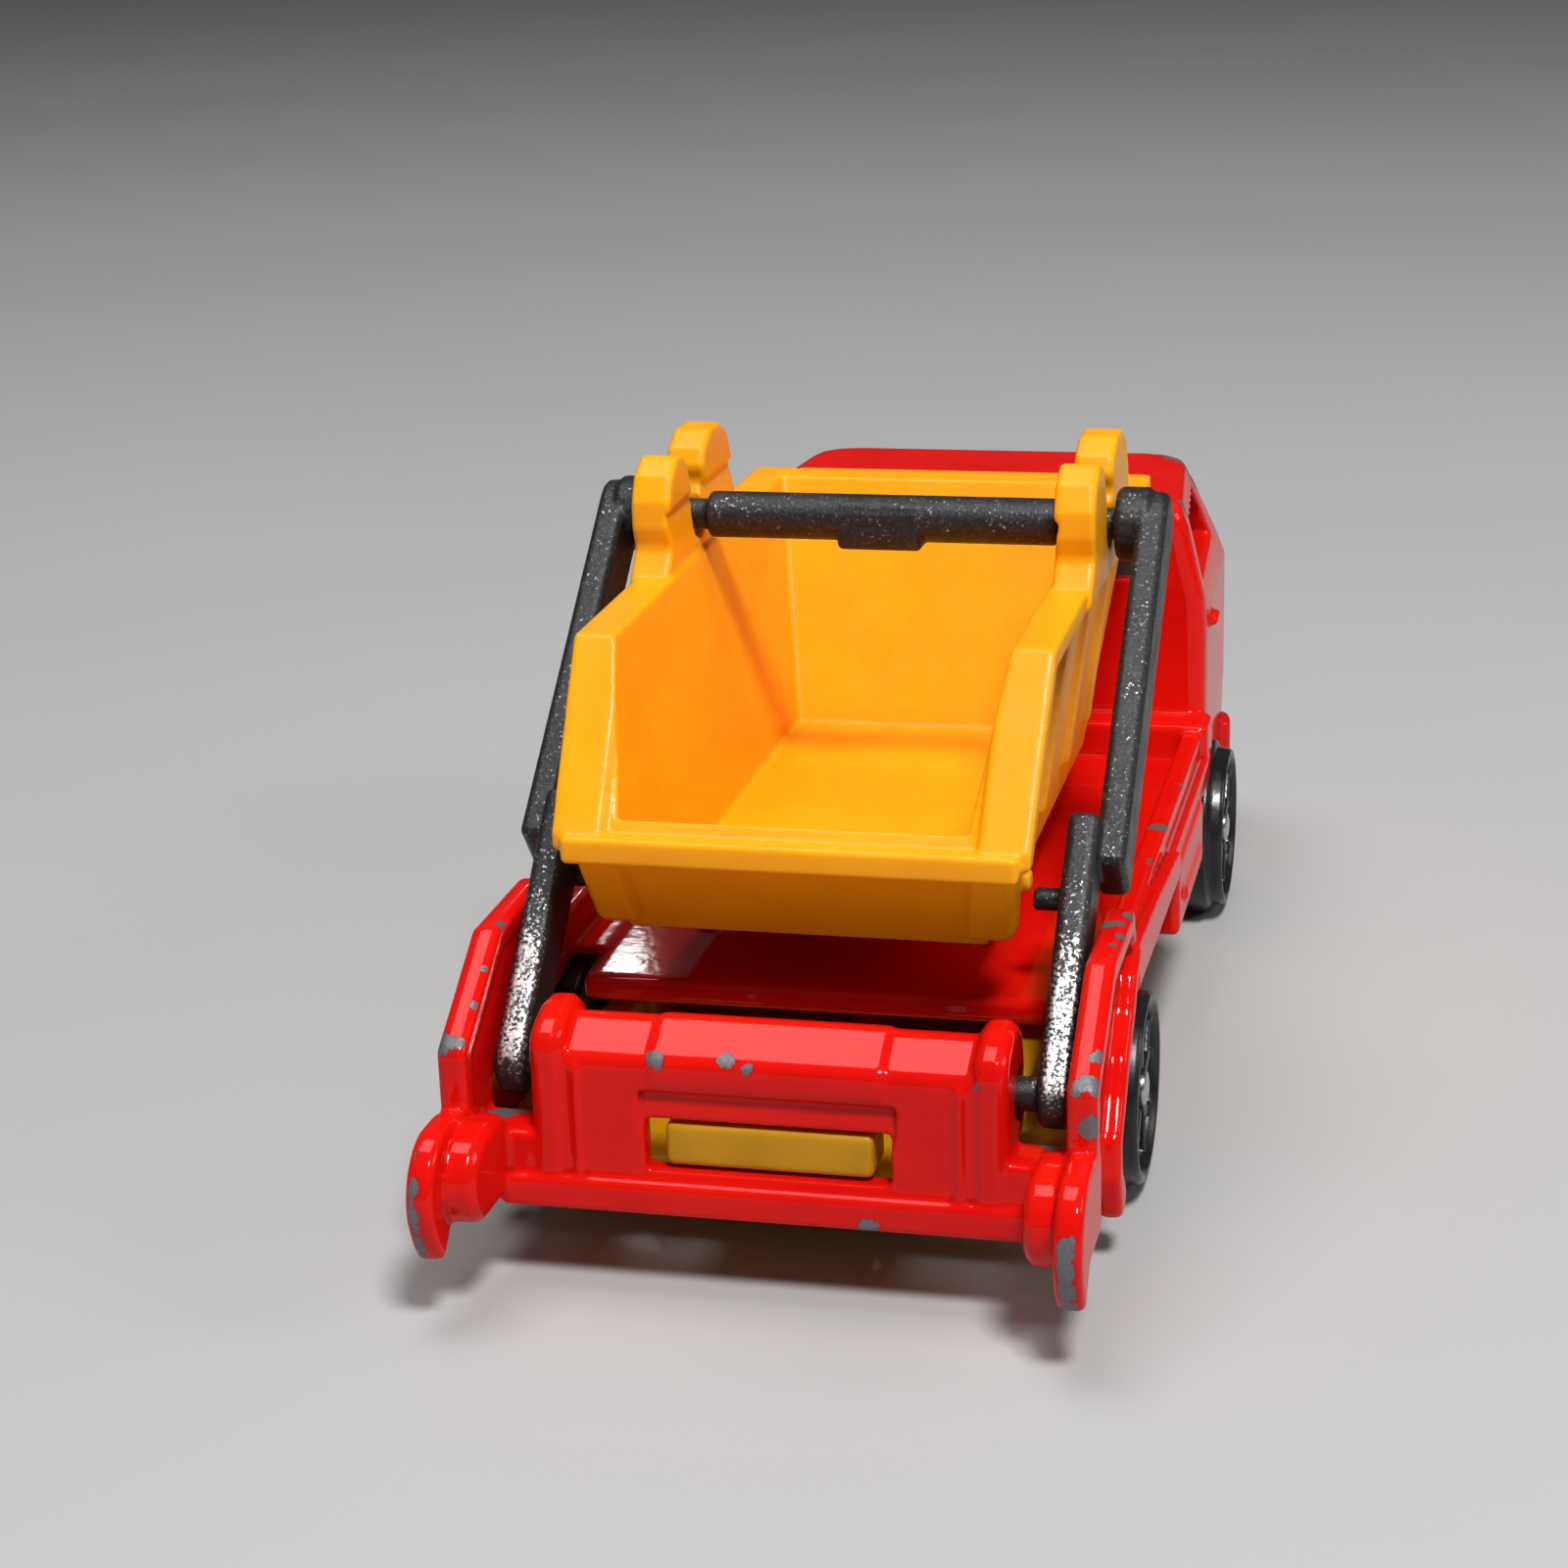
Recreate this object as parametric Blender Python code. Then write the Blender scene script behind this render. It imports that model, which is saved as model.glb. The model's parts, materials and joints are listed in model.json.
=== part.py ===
"""Die-cast toy skip-loader truck: cast body, plastic base, hinged lifting frame and hanging skip.

Numbers are in millimetres and become metres when a mesh is made. X is across the truck, Y runs
forward and Z up; the origin is on the ground under the middle of the truck. Side profiles are
given as (forward of, above) the datum, which is the upper rear corner of the body's side cheeks.
"""

import math

import bmesh
import bpy

MM = 0.001

# Datum and running gear
DATUM_Y = -29.85
DATUM_Z = 10.2
WHEEL_R = 4.5
WHEEL_INNER_X = 10.6
WHEEL_OUTER_X = 13.5
REAR_AXLE = (13.9, -5.7)
FRONT_AXLE = (48.3, -5.7)
AXLE_R = 0.5
ARCH_R = WHEEL_R + 0.35

# Body casting
CHEEK_X = (12.0, 12.45)
RAIL_X = (11.5, 12.5)
RAIL_TOP = 1.0
DECK_TOP = -0.4
DECK_REAR = 9.7
CAB_REAR = 45.0
CAB_FRONT = 63.5
CAB_ROOF = 12.05
CAB_WALL = 1.0
CAB_HALF = 12.4
BEAM_REAR = 0.9
BEAM_HALF = 9.3
POST_X = (8.2, 9.6)

# Lifting frame and skip
PIVOT = (3.8, -1.85)
BAR = (25.8, 15.8)
LOWER_ARM_X = (10.4, 11.7)
UPPER_ARM_X = (11.5, 12.8)
ARM_HALF_WIDTH = 1.3
PIN_R = 0.7
NECK_R = 0.7
BAR_R = 1.05
SKIP_BOTTOM = 2.3
SKIP_RIM = 14.2
LUG_X = (8.4, 10.2)
GAP = 0.3


# ---------------------------------------------------------------- shapes


def world(point):
    """Y and Z of a (forward, up) point measured from the datum."""
    return point[0] + DATUM_Y, point[1] + DATUM_Z


def arc(centre, radius, start, stop, steps):
    """Points round an arc, from start to stop degrees."""
    angles = [math.radians(start + (stop - start) * i / steps) for i in range(steps + 1)]
    return [(centre[0] + radius * math.cos(a), centre[1] + radius * math.sin(a)) for a in angles]


def closed(bm):
    """Turn every face outward."""
    bmesh.ops.recalc_face_normals(bm, faces=bm.faces)
    if bm.calc_volume(signed=True) < 0.0:
        bmesh.ops.reverse_faces(bm, faces=bm.faces)
    return bm


def loft(loops):
    """A closed body through rings of the same number of (x, y, z) points, with flat ends."""
    bm = bmesh.new()
    rings = [[bm.verts.new(p) for p in loop] for loop in loops]
    for low, high in zip(rings, rings[1:]):
        for i in range(len(low)):
            j = (i + 1) % len(low)
            bm.faces.new((low[i], low[j], high[j], high[i]))
    bm.faces.new(rings[0])
    bm.faces.new(rings[-1])
    return closed(bm)


def soften(bm, width, segments=1, limit=25.0):
    """Round the edges of a body that are sharper than the limit."""
    edges = [e for e in bm.edges if math.degrees(e.calc_face_angle(0.0)) > limit]
    bmesh.ops.bevel(bm, geom=edges, offset=width, offset_type="OFFSET", segments=segments,
                    profile=0.5, affect="EDGES", clamp_overlap=True)
    return closed(bm)


def plate(outline, x0, x1, rounding=0.0, segments=1, limit=25.0):
    """A side profile, given from the datum, made thick from x0 to x1."""
    loops = [[(x, *world(p)) for p in outline] for x in (x0, x1)]
    bm = loft(loops)
    return soften(bm, rounding, segments, limit) if rounding else bm


def block(x, y, z, rounding=0.0, segments=1):
    """A box over three (low, high) ranges, with y and z measured from the datum."""
    outline = [(y[0], z[0]), (y[1], z[0]), (y[1], z[1]), (y[0], z[1])]
    return plate(outline, x[0], x[1], rounding, segments)


def turned(profile, centre, steps):
    """A closed (x, radius) loop turned about an axis along X through the centre."""
    cy, cz = world(centre)
    bm = bmesh.new()
    rings = []
    for x, radius in profile:
        angles = [2 * math.pi * i / steps for i in range(steps)]
        rings.append([bm.verts.new((x, cy + radius * math.cos(a), cz + radius * math.sin(a)))
                      for a in angles])
    for low, high in zip(rings, rings[1:] + rings[:1]):
        for i in range(steps):
            j = (i + 1) % steps
            bm.faces.new((low[i], low[j], high[j], high[i]))
    return closed(bm)


def rod(centre, radius, x0, x1, steps=24, chamfer=0.0):
    """A solid round bar along X."""
    cy, cz = world(centre)
    stations = [(x0, radius - chamfer), (x0 + chamfer, radius), (x1 - chamfer, radius),
                (x1, radius - chamfer)]
    if not chamfer:
        stations = [(x0, radius), (x1, radius)]
    loops = []
    for x, r in stations:
        angles = [2 * math.pi * i / steps for i in range(steps)]
        loops.append([(x, cy + r * math.cos(a), cz + r * math.sin(a)) for a in angles])
    return loft(loops)


def upright(x, y, stations, steps=16):
    """A solid turned about a vertical axis: stations are (z, radius)."""
    loops = []
    for z, radius in stations:
        angles = [2 * math.pi * i / steps for i in range(steps)]
        loops.append([(x + radius * math.cos(a), y + DATUM_Y + radius * math.sin(a), z + DATUM_Z)
                      for a in angles])
    return loft(loops)


def mirrored(bm):
    """The same body on the other side of the truck."""
    twin = bm.copy()
    for vert in twin.verts:
        vert.co.x = -vert.co.x
    return closed(twin)


def both(bm):
    """A body and its mirror image."""
    return [bm, mirrored(bm)]


def rounded_section(z, rear, front, rear_half, front_half, rear_r, front_r, steps=3):
    """A horizontal ring with rounded corners, for the cab."""
    ring = []
    corners = [(rear_half - rear_r, rear + rear_r, rear_r, -90.0),
               (front_half - front_r, front - front_r, front_r, 0.0)]
    for x, y, radius, start in corners:
        ring += arc((x, y), radius, start, start + 90.0, steps)
    left = [(-x, y) for x, y in reversed(ring)]
    return [(x, y + DATUM_Y, z + DATUM_Z) for x, y in ring + left]


def narrowing(bm, low, high):
    """Scale a body's width between two (height, factor) stations above the datum."""
    for vert in bm.verts:
        share = (vert.co.z - DATUM_Z - low[0]) / (high[0] - low[0])
        vert.co.x *= low[1] + share * (high[1] - low[1])
    return bm


# ---------------------------------------------------------------- objects


def material(name, colour, roughness, metallic):
    """A plain Principled material."""
    mat = bpy.data.materials.new(name)
    mat.use_nodes = True
    shader = mat.node_tree.nodes["Principled BSDF"]
    shader.inputs["Base Color"].default_value = (*colour, 1.0)
    shader.inputs["Roughness"].default_value = roughness
    shader.inputs["Metallic"].default_value = metallic
    return mat


def mesh_from(name, bm, origin):
    """A mesh in metres, about an origin (y, z) in millimetres, from a body."""
    bmesh.ops.translate(bm, vec=(0.0, -origin[0], -origin[1]), verts=bm.verts)
    bmesh.ops.scale(bm, vec=(MM, MM, MM), verts=bm.verts)
    mesh = bpy.data.meshes.new(name)
    bm.to_mesh(mesh)
    bm.free()
    mesh.shade_smooth()
    mesh.set_sharp_from_angle(angle=math.radians(32.0))
    return mesh


def place(name, mesh, origin, parent):
    """An object for a mesh, linked to the scene at an origin (y, z) in millimetres."""
    obj = bpy.data.objects.new(name, mesh)
    bpy.context.scene.collection.objects.link(obj)
    obj.location = (0.0, origin[0] * MM, origin[1] * MM)
    if parent:
        obj.parent = parent
        obj.location -= parent.location
    return obj


def node(name, solids, cuts, mat, joint=None, parent=None):
    """A named piece: overlapping solids fused into one body, less its cuts.

    joint is the (forward, up) point of the piece's joint axis, which becomes its origin.
    """
    origin = world(joint) if joint else (0.0, 0.0)
    obj = place(name, mesh_from(name, solids[0], origin), origin, parent)
    obj.data.materials.append(mat)
    steps = [(bm, "UNION") for bm in solids[1:]] + [(bm, "DIFFERENCE") for bm in cuts]
    for i, (bm, operation) in enumerate(steps):
        tool_name = f"{name}_tool_{i + 1:02d}"
        tool = place(tool_name, mesh_from(tool_name, bm, origin), origin, parent)
        tool.hide_render = True
        tool.display_type = "WIRE"
        step = obj.modifiers.new(tool_name, "BOOLEAN")
        step.operation = operation
        step.object = tool
        step.solver = "EXACT"
    return obj


# ---------------------------------------------------------------- body casting


def side_solids():
    """One side of the body: rear cheek with its border, rail, mudguard and step."""
    cheek = [(0.1, -6.5), (0.1, -0.1), (5.25, 3.2), (11.4, 3.2), (12.3, 0.8), (19.2, 0.8),
             (19.2, -1.1), (9.4, -1.1), (8.5, -7.8), (6.9, -7.9), (5.5, -6.9)]
    border = [(0.0, -3.2), (0.0, 0.0), (5.2, 3.3), (11.5, 3.3), (12.2, 1.6), (11.4, 1.45),
              (10.8, 2.2), (5.6, 2.2), (1.1, -0.6), (1.1, -3.2)]
    guard = arc((6.9, -7.4), 0.95, 180.0, 360.0, 6)
    guard += [(6.75, -6.0), (6.6, -4.9), (7.9, -3.6), (9.1, -2.2), (10.7, -0.9), (11.4, 0.1),
              (12.8, 0.3), (12.8, 1.1), (11.7, 1.2), (10.6, 0.7), (9.6, -0.6), (8.0, -1.9),
              (7.0, -3.2), (5.7, -4.6), (5.6, -6.2)]
    strip = [(12.2, 1.34), (17.9, 1.08), (25.7, 0.35), (27.8, 0.1), (27.8, -1.2), (12.2, -0.8)]
    return [
        plate(cheek, *CHEEK_X, 0.15),
        plate(border, 11.94, 13.15, 0.22, 1, 40.0),
        block(RAIL_X, (10.8, 44.2), (-1.5, RAIL_TOP), 0.12),
        block((12.2, 12.85), (12.6, 43.9), (-1.7, -0.35)),
        plate(guard, 12.3, 13.32, 0.18, 1, 40.0),
        plate(strip, 12.7, 13.22, 0.12, 1, 40.0),
        block((11.9, 13.1), (28.1, 38.6), (-4.3, -0.95), 0.2),
        block((12.4, 13.3), (30.0, 36.6), (-3.2, -2.6), 0.1),
    ]


def foot_solids():
    """The rounded stabiliser foot at a rear corner: outer disc and inner lobe."""
    disc = [(1.2, -2.7), (-0.9, -2.35)]
    disc += arc((-1.9, -4.9), 2.6, 100.0, 205.0, 9)
    disc += [(-3.95, -6.7), (-3.5, -7.4), (-3.1, -7.45), (-2.6, -6.9), (-2.0, -6.2), (1.2, -6.2)]
    lobe = [(1.4, -3.0), (-0.6, -2.7)]
    lobe += arc((-1.4, -4.6), 1.85, 95.0, 250.0, 9)
    lobe += [(1.4, -6.45)]
    return [
        plate(disc, 12.06, 13.2, 0.2, 1, 40.0),
        plate(lobe, 10.7, 12.42, 0.35, 1, 40.0),
    ]


def beam_solids():
    """The cross beam between the rear cheeks, with its end posts and ledges."""
    wall = [(BEAM_REAR, -6.3), (BEAM_REAR, -0.4), (1.15, -0.1), (2.9, 0.85), (3.9, 0.6),
            (3.9, -0.2), (2.0, -0.9), (2.0, -6.3)]
    centre = [(0.8, -1.3), (0.8, -0.36), (1.05, -0.02), (2.85, 0.98), (3.8, 0.75), (3.0, 0.1),
              (1.6, -0.9)]
    post = [(0.7, -5.6), (0.7, 0.25), (1.2, 0.85), (2.6, 1.35), (3.9, 1.3), (4.9, 0.6),
            (5.3, -0.6), (5.3, -3.3), (4.6, -4.0), (2.1, -4.3), (2.1, -5.6)]
    solids = [
        plate(wall, -BEAM_HALF, BEAM_HALF, 0.2),
        plate(centre, -4.7, 4.7, 0.1),
        block((-11.0, 11.0), (0.45, 2.1), (-6.75, -5.35), 0.2),
    ]
    solids += both(plate(post, *POST_X, 0.35))
    solids += both(block((7.55, 7.85), (0.72, 1.5), (-6.2, -0.6), 0.08))
    solids += both(block((9.05, 12.34), (0.78, 3.2), (-6.45, -3.6), 0.17))
    return solids


def deck_solids():
    """The load floor, its cross ribs and the ledge behind the cab."""
    solids = [
        block((-10.0, 10.0), (DECK_REAR, 44.0), (-1.5, DECK_TOP), 0.3, 3),
        block((-11.7, 11.7), (13.3, 44.0), (-1.45, DECK_TOP - 0.05)),
        block((-12.8, 12.8), (42.9, 45.6), (-1.6, 1.35), 0.3, 2),
    ]
    for y in (22.0, 40.0):
        solids.append(upright(0.0, y, [(-8.1, 1.6), (-7.8, 1.9), (-7.75, 1.9), (-7.75, 1.1),
                                       (-0.9, 1.1)]))
    return solids


def cab_stations(inset, top, bottom):
    """Horizontal rings of the cab, drawn in from the outside by an inset."""
    rows = [
        (bottom, CAB_REAR, CAB_FRONT - 0.3, CAB_HALF - 0.2, CAB_HALF - 0.8),
        (-1.0, CAB_REAR, CAB_FRONT, CAB_HALF, CAB_HALF - 0.6),
        (5.8, CAB_REAR, CAB_FRONT - 0.2, CAB_HALF, CAB_HALF - 0.6),
        (7.3, CAB_REAR, CAB_FRONT - 1.6, CAB_HALF - 0.1, CAB_HALF - 0.9),
        (10.8 - inset * 0.6, CAB_REAR - 0.1, CAB_FRONT - 4.6, 11.5, 10.5),
    ]
    rings = []
    for z, rear, front, rear_half, front_half in rows:
        rings.append(rounded_section(z, rear + inset, front - inset, rear_half - inset,
                                     front_half - inset, 0.8, 2.2))
    crown = [(top - 0.75, 0.0), (top - 0.3, 0.15), (top - 0.08, 0.45), (top, 0.95)]
    for z, turn in crown:
        rings.append(rounded_section(z, CAB_REAR - 0.2 + inset + turn,
                                     CAB_FRONT - 5.3 - inset - turn, 11.3 - inset - turn,
                                     10.3 - inset - turn, 0.9, 2.0))
    return rings


def cab_solids():
    """The cab's outer form with lamps, bumper and door handles."""
    bumper = [rounded_section(z, 61.0, front, 12.2, 12.1, 0.5, 1.6)
              for z, front in ((-6.9, 63.9), (-6.6, 64.2), (-4.3, 64.2), (-4.0, 63.9))]
    solids = [loft(cab_stations(0.0, CAB_ROOF, -6.6)), loft(bumper)]
    for side in (-1, 1):
        for radius, front in ((1.45, 63.85), (1.1, 64.05)):
            lamp = upright(side * 8.9, 0.0, [(0.0, radius), (2.0, radius)])
            for vert in lamp.verts:
                y = vert.co.y - DATUM_Y
                z = vert.co.z - DATUM_Z
                vert.co.y = front - 2.0 + z + DATUM_Y
                vert.co.z = y - 0.6 + DATUM_Z
            solids.append(closed(lamp))
    solids += both(block((12.2, 12.75), (47.9, 49.6), (5.2, 5.7), 0.1))
    return solids


def cab_cuts():
    """The cab's hollow, its windows, door lines and grille slots."""
    screen = [(58.0, 7.75), (70.0, 7.75), (70.0, 10.75), (55.0, 10.75)]
    side = [(47.2, 7.9), (56.6, 7.9), (56.0, 9.4), (54.6, 10.85), (47.2, 10.85)]
    cuts = [
        loft(cab_stations(CAB_WALL, CAB_ROOF - CAB_WALL, -9.0)),
        plate(screen, -8.7, 8.7),
        block((-10.4, 10.4), (44.0, 47.0), (8.3, 10.9)),
        block((-10.25, 10.25), (44.0, 47.0), (-9.0, -1.7)),
    ]
    for step in range(5):
        z = -1.2 + 1.1 * step
        cuts.append(block((-6.4, 6.4), (62.95, 65.0), (z, z + 0.6)))
    cuts += both(plate(side, 9.0, 14.0))
    for y in (46.6, 56.9):
        cuts += both(block((12.0, 13.0), (y, y + 0.25), (-0.6, 7.1)))
    return cuts


def wheel_arch_cuts():
    """Room for the four wheels."""
    cuts = []
    for axle in (REAR_AXLE, FRONT_AXLE):
        cuts += both(rod(axle, ARCH_R, WHEEL_INNER_X - GAP, 16.0, 40))
    return cuts


def beam_cuts():
    """The beam's window, groove and pivot holes."""
    cuts = [
        block((-4.95, 4.95), (0.0, 2.6), (-4.95, -2.8)),
        plate([(0.0, -3.4), (1.05, -3.4), (1.3, -1.6), (0.0, -1.45)], -5.2, 5.2),
    ]
    cuts += both(rod(PIVOT, PIN_R + GAP, POST_X[0] + 0.4, POST_X[1] + 0.4, 20))
    return cuts


def deck_cuts():
    """Four short slots in the load floor."""
    cuts = []
    for x in (-6.0, -2.0, 2.0, 6.0):
        cuts.append(block((x - 0.25, x + 0.25), (15.6, 17.4), (-0.75, 0.0)))
    return cuts


def make_body(mat):
    """The red casting: cab, deck, rails, cheeks, beam and feet in one piece."""
    solids = cab_solids() + deck_solids() + beam_solids()
    for bm in side_solids() + foot_solids():
        solids += both(bm)
    cuts = cab_cuts() + wheel_arch_cuts() + beam_cuts() + deck_cuts()
    return node("body", solids, cuts, mat)


# ---------------------------------------------------------------- plastic pieces


def make_base(mat):
    """The plastic base: floor pan, side walls with axle slots, rear bar and wings."""
    solids = [
        block((-9.6, 9.6), (5.4, 61.6), (-7.45, -6.5), 0.15),
        block((-4.0, 4.0), (2.4, 6.2), (-7.4, -6.55)),
        block((-4.2, 4.2), (1.2, 3.6), (-4.8, -3.0), 0.15),
        block((-4.0, 4.0), (2.5, 3.5), (-7.0, -3.3)),
        block((-3.0, 3.0), (24.5, 37.5), (-7.7, -7.0), 0.15),
        block((-9.0, -4.2), (24.5, 37.5), (-7.7, -7.0), 0.15),
        block((4.2, 9.0), (24.5, 37.5), (-7.7, -7.0), 0.15),
    ]
    solids += both(block((8.3, 9.55), (5.7, 60.6), (-7.0, -2.3)))
    solids += both(block((8.0, 11.65), (3.65, 8.3), (-7.2, -4.3), 0.2))
    cuts = []
    for y, z in (REAR_AXLE, FRONT_AXLE):
        cuts.append(rod((y, z), AXLE_R + GAP, -11.0, 11.0, 20))
        half = AXLE_R + GAP - 0.02
        cuts.append(block((-11.0, 11.0), (y - half, y + half), (z, -1.0)))
    for y in (22.0, 40.0):
        cuts.append(upright(0.0, y, [(-9.0, 2.2), (-7.35, 2.2), (-7.35, 1.4), (-1.0, 1.4)]))
    return node("base_plate", solids, cuts, mat)


def make_glazing(mat):
    """One clear moulding that lines the cab and fills every window."""
    outer = loft(glazing_rings(CAB_WALL + GAP, CAB_ROOF - CAB_WALL - GAP))
    inner = loft(glazing_rings(CAB_WALL + GAP + 0.6, CAB_ROOF - CAB_WALL - GAP - 0.6, -1.0))
    return node("glazing", [outer], [inner], mat)


def glazing_rings(inset, top, drop=0.0):
    """The upper rings of the cab at an inset, from below the windows to the ceiling."""
    rings = cab_stations(inset, top, -6.6)[2:]
    first = [(x, y, z + drop) for x, y, z in rings[0]]
    return [first] + rings[1:]


def make_interior(mat):
    """The cab's floor, two seats, dashboard and steering wheel in one moulding."""
    solids = [
        block((-9.4, 9.4), (46.6, 60.8), (0.4, 1.4), 0.15),
        block((-9.0, 9.0), (58.0, 60.6), (1.05, 5.4), 0.4),
    ]
    for x in (-5.0, 5.0):
        solids.append(block((x - 2.6, x + 2.6), (47.9, 53.0), (0.9, 3.4), 0.5))
        solids.append(block((x - 2.5, x + 2.5), (47.2, 49.0), (1.2, 8.0), 0.45))
    column = [(56.2, 5.55), (56.7, 6.1), (59.4, 4.4), (59.0, 3.8)]
    solids.append(plate(column, -5.35, -4.65))
    solids.append(steering_wheel((-5.0, 56.6, 5.9)))
    return node("cab_interior", solids, [], mat)


def steering_wheel(centre, radius=1.9, tube=0.3, tilt=55.0):
    """A ring with a crossbar, tilted towards the seat."""
    bm = bmesh.new()
    major, minor = 20, 6
    lean = math.radians(tilt)
    rings = []
    for i in range(major):
        a = 2 * math.pi * i / major
        ring = []
        for k in range(minor):
            b = 2 * math.pi * k / minor
            reach = radius + tube * math.cos(b)
            x, u, w = reach * math.cos(a), reach * math.sin(a), tube * math.sin(b)
            y = -u * math.cos(lean) + w * math.sin(lean)
            z = u * math.sin(lean) + w * math.cos(lean)
            ring.append(bm.verts.new((x + centre[0], y + centre[1] + DATUM_Y,
                                      z + centre[2] + DATUM_Z)))
        rings.append(ring)
    for low, high in zip(rings, rings[1:] + rings[:1]):
        for k in range(minor):
            j = (k + 1) % minor
            bm.faces.new((low[k], low[j], high[j], high[k]))
    bar = bmesh.ops.create_cube(bm, size=1.0)
    for vert in bar["verts"]:
        x, u, w = vert.co.x * 2 * radius, vert.co.y * 0.6, vert.co.z * 0.4
        y = -u * math.cos(lean) + w * math.sin(lean)
        z = u * math.sin(lean) + w * math.cos(lean)
        vert.co = (x + centre[0], y + centre[1] + DATUM_Y, z + centre[2] + DATUM_Z)
    return closed(bm)


# ---------------------------------------------------------------- skip


def lug_outline():
    """Two horns with a round seat for the crossbar between them; the front one hooks over it."""
    points = [(19.4, 13.4), (21.1, 15.3), (20.75, 16.3), (20.8, 17.4), (21.4, 18.5),
              (22.6, 19.15), (23.7, 18.9), (24.3, 18.1), (24.7, 17.1)]
    points += arc(BAR, NECK_R + GAP, 135.0, 400.0, 12)
    points += [(27.0, 17.0), (26.7, 17.7), (27.1, 18.5), (28.3, 19.15), (30.0, 19.15),
               (31.3, 18.5), (32.0, 17.2), (32.4, 15.2), (33.2, 13.4)]
    return points


def skip_solids():
    """The skip's tub, flanges, ribs, corner posts and lugs."""
    tub = [(8.9, SKIP_BOTTOM), (36.2, SKIP_BOTTOM), (42.3, SKIP_RIM - 0.1),
           (11.2, SKIP_RIM - 0.1), (6.0, 7.1)]
    flange = [(5.75, 7.35), (5.7, 6.6), (6.6, 6.5), (11.6, 13.2), (42.3, 13.2), (42.9, SKIP_RIM),
              (11.0, SKIP_RIM)]
    post = [(5.8, 6.9), (7.95, 2.75), (9.9, 2.75), (8.2, 6.9)]
    solids = [narrowing(plate(tub, -1.0, 1.0), (SKIP_BOTTOM, 7.5), (SKIP_RIM, 9.2))]
    solids.append(block((-9.3, 9.3), (5.3, 6.9), (6.15, 7.3), 0.15))
    solids.append(front_flange())
    rib_top = 13.4
    sides = [
        narrowing(plate(flange, 7.6, 9.72, 0.12, 1, 40.0), (6.5, 1.0), (SKIP_RIM, 1.03)),
        plate(lug_outline(), *LUG_X, 0.15, 1, 40.0),
        narrowing(plate(post, 6.75, 8.7, 0.3), (3.0, 1.0), (6.9, 1.05)),
        rod((8.9, 5.2), 0.45, 7.6, 9.3, 12),
    ]
    for foot in (14.5, 20.5, 27.5, 34.0):
        rib = [(foot - 0.5, 4.2), (foot + 0.5, 4.2), (foot + 0.5, rib_top), (foot - 0.5, rib_top)]
        sides.append(narrowing(plate(rib, 7.0, 8.1), (4.2, 1.0), (rib_top, 1.16)))
    for bm in sides:
        solids += both(bm)
    return solids


def front_flange():
    """The rim across the front wall, with its corners cut off."""
    plan = [(-9.8, 39.6), (-9.8, 40.8), (-7.6, 43.0), (7.6, 43.0), (9.8, 40.8), (9.8, 39.6)]
    loops = [[(x, y + DATUM_Y, z + DATUM_Z) for x, y in plan] for z in (13.25, SKIP_RIM - 0.03)]
    return soften(loft(loops), 0.12)


def skip_cuts():
    """The hollow of the tub."""
    hollow = [(9.9, SKIP_BOTTOM + 0.9), (35.3, SKIP_BOTTOM + 0.9), (42.2, 17.0), (4.0, 17.0),
              (4.0, 11.2)]
    return [narrowing(plate(hollow, -1.0, 1.0), (SKIP_BOTTOM + 0.9, 6.4), (SKIP_RIM, 8.2)),
            block((-14.0, -9.9), (42.0, 44.0), (12.0, 16.0)),
            block((9.9, 14.0), (42.0, 44.0), (12.0, 16.0))]


def make_skip(mat, frame):
    """The yellow tipping skip, hung from the crossbar."""
    return node("skip", skip_solids(), skip_cuts(), mat, BAR, frame)


# ---------------------------------------------------------------- lifting frame


def strut(start, end, half, x, start_round, end_round, rounding):
    """A straight arm between two points, with round or square ends."""
    dy, dz = end[0] - start[0], end[1] - start[1]
    heading = math.degrees(math.atan2(dz, dy))
    length = math.hypot(dy, dz)
    ny, nz = -dz / length * half, dy / length * half
    points = []
    if end_round:
        points += arc(end, half, heading - 90.0, heading + 90.0, 8)
    else:
        points += [(end[0] - ny, end[1] - nz), (end[0] + ny, end[1] + nz)]
    if start_round:
        points += arc(start, half, heading + 90.0, heading + 270.0, 8)
    else:
        points += [(start[0] + ny, start[1] + nz), (start[0] - ny, start[1] - nz)]
    return plate(points, x[0], x[1], rounding, 1, 40.0)


def frame_solids():
    """Two stepped arms, pivot pins, bosses, pegs and the crossbar."""
    knee = (12.4, 6.45)
    splice = (11.6, 4.4)
    sides = [
        strut(PIVOT, knee, ARM_HALF_WIDTH, LOWER_ARM_X, True, False, 0.22),
        strut(splice, BAR, 1.45, UPPER_ARM_X, False, True, 0.22),
        rod(PIVOT, PIN_R, POST_X[0] + 0.7, LOWER_ARM_X[0] + 0.6, 20, 0.1),
        rod((11.4, 3.5), 0.5, 9.0, LOWER_ARM_X[0] + 0.6, 14, 0.08),
        rod(BAR, 1.65, 10.5, UPPER_ARM_X[0] + 0.6, 20, 0.2),
        rod(BAR, NECK_R, 7.4, 11.0, 16),
    ]
    solids = [rod(BAR, BAR_R, -7.9, 7.9, 20, 0.12)]
    centre = [(24.85, 14.5), (26.75, 14.5), (26.9, 15.3), (26.6, 16.65), (25.0, 16.65),
              (24.7, 15.3)]
    solids.append(plate(centre, -1.9, 1.9, 0.15))
    for bm in sides:
        solids += both(bm)
    return solids


def make_frame(mat):
    """The lifting frame that swings the skip over the tail."""
    return node("lifting_frame", frame_solids(), [], mat, PIVOT)


# ---------------------------------------------------------------- running gear


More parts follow.
